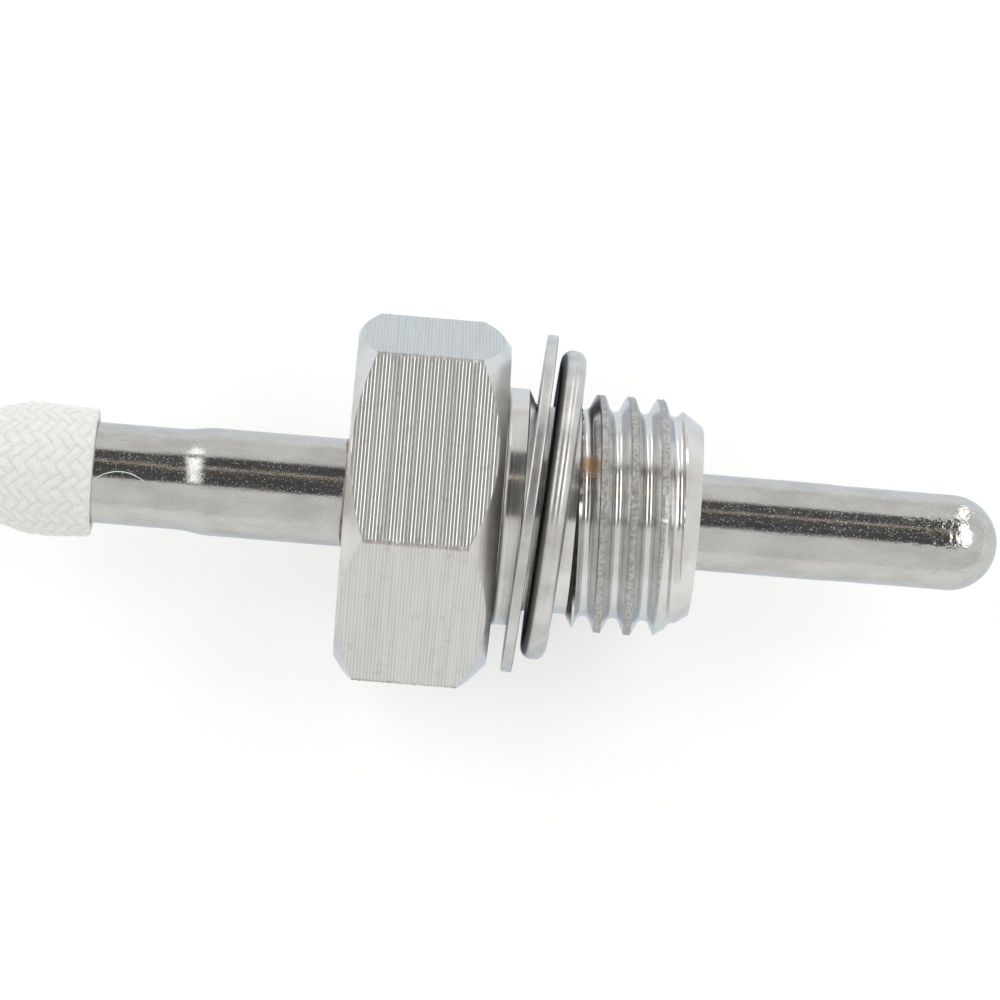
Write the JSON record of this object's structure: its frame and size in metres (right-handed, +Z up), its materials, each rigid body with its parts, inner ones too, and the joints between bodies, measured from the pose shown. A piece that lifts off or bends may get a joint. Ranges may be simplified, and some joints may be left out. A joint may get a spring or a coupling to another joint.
{
  "type": "flame temperature probe",
  "caption": "Screw-in stainless steel flame temperature probe with hexagon fitting, loose washer and sealing ring, and a braided glass-fibre lead.",
  "frame": {"origin": "centre of the hexagon's sealing shoulder, on the probe axis", "axes": "+X along the probe axis towards the closed tip; +Z up, out of the uppermost hexagon flat, with the part lying on the opposite flat"},
  "size_m": [0.17, 0.0396, 0.017],
  "materials": {
    "fitting_steel": "turned and milled stainless steel, fine parallel tool marks",
    "sheath_steel": "drawn stainless steel, polished with fine pits",
    "tube_steel": "drawn stainless steel, polished with fine pits",
    "braze": "thin heat-tinted braze fillet",
    "washer_steel": "stamped stainless steel, satin",
    "seal_steel": "rolled and folded steel, satin",
    "thermo_alloy": "drawn nickel alloy wire",
    "tinned_copper": "tinned, bright",
    "magnesia": "packed white ceramic powder",
    "ceramic": "unglazed white ceramic",
    "bush": "heat-resistant soft bush",
    "core_glass": "lacquered glass-fibre lapping",
    "glass_braid": "white glass-fibre braid, flat yarns",
    "tail_positive": "lacquered glass-fibre braid, green",
    "tail_negative": "lacquered glass-fibre braid, white",
    "shrink_sleeve": "black shrink sleeve, satin",
    "tie_nylon": "natural nylon",
    "ferrule_collar_positive": "moulded ferrule collar, pale grey",
    "ferrule_collar_negative": "moulded ferrule collar, pale grey"
  },
  "bodies": {
    "probe": {"hex_fitting": "fitting_steel", "probe_sheath": "sheath_steel", "rear_tube": "tube_steel", "braze_ring": "braze", "hot_junction_bead": "thermo_alloy", "magnesia_fill": "magnesia", "cement_plug": "magnesia", "crimp_bush": "bush", "braid_mouth": "glass_braid", "cable_lead": "glass_braid", "cable_hank": "glass_braid", "hank_tie": "tie_nylon", "end_sleeve": "shrink_sleeve", "ceramic_insulator_1": "ceramic", "ceramic_insulator_2": "ceramic", "ceramic_insulator_3": "ceramic", "ceramic_insulator_4": "ceramic", "thermo_wire_positive": "thermo_alloy", "splice_barrel_positive": "tinned_copper", "splice_sleeve_positive": "core_glass", "core_conductor_positive": "thermo_alloy", "core_insulation_positive": "core_glass", "tail_core_positive": "tail_positive", "ferrule_collar_positive": "ferrule_collar_positive", "ferrule_pin_positive": "tinned_copper", "thermo_wire_negative": "thermo_alloy", "splice_barrel_negative": "tinned_copper", "splice_sleeve_negative": "core_glass", "core_conductor_negative": "thermo_alloy", "core_insulation_negative": "core_glass", "tail_core_negative": "tail_negative", "ferrule_collar_negative": "ferrule_collar_negative", "ferrule_pin_negative": "tinned_copper"},
    "washer": {"flat_washer": "washer_steel"},
    "seal": {"sealing_ring": "seal_steel"}
  },
  "joints": [
    {"name": "seal_slide", "type": "slide", "parent": "probe", "child": "seal", "axis": [1, 0, 0], "range_m": [-0.0004, 0.0215]},
    {"name": "washer_slide", "type": "slide", "parent": "probe", "child": "washer", "axis": [1, 0, 0], "range_m": [-0.0004, 0.0215]}
  ],
  "couplings": [
    {"joint": "washer_slide", "follows": "seal_slide", "ratio": 1}
  ]
}
